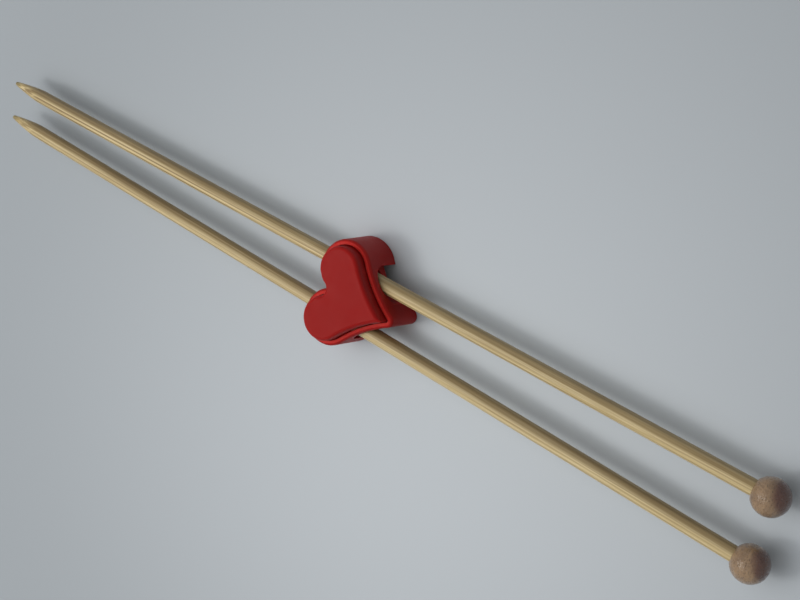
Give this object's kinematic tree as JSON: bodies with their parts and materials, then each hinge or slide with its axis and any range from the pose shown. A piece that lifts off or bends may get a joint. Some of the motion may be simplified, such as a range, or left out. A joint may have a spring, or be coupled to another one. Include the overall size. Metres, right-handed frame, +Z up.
{
  "type": "straight knitting needles with holder",
  "caption": "Pair of straight wooden knitting needles with ball knobs, clamped side by side in a heart-shaped push-button holder.",
  "frame": {"origin": "middle of the holder's flat base, which stands on the table", "axes": "+X along the needles from their points to their knobs, +Z up through the button"},
  "size_m": [0.353, 0.0404, 0.0211],
  "materials": {
    "red_plastic": "satin moulded red",
    "bamboo": "smooth, waxed, fine lengthwise grain",
    "turned_wood": "turned and satin varnished",
    "spring_steel": "drawn wire"
  },
  "bodies": {
    "holder": {"holder_shell": "red_plastic", "back_cover": "red_plastic", "return_spring": "spring_steel"},
    "button": {"push_button": "red_plastic"},
    "needle_a": {"needle_a_shaft": "bamboo", "needle_a_knob": "turned_wood"},
    "needle_b": {"needle_b_shaft": "bamboo", "needle_b_knob": "turned_wood"}
  },
  "joints": [
    {"name": "button_press", "type": "slide", "parent": "holder", "child": "button", "axis": [0, 0, -1], "range_m": [0, 0.0023], "stiffness_N_per_m": 600, "springref_m": -0.004, "deforming": ["return_spring"]},
    {"name": "needle_a_slide", "type": "slide", "parent": "holder", "child": "needle_a", "axis": [1, 0.0026, 0], "range_m": [-0.137, 0.2]},
    {"name": "needle_b_slide", "type": "slide", "parent": "holder", "child": "needle_b", "axis": [0.9997, -0.023, 0], "range_m": [-0.141, 0.2]}
  ]
}
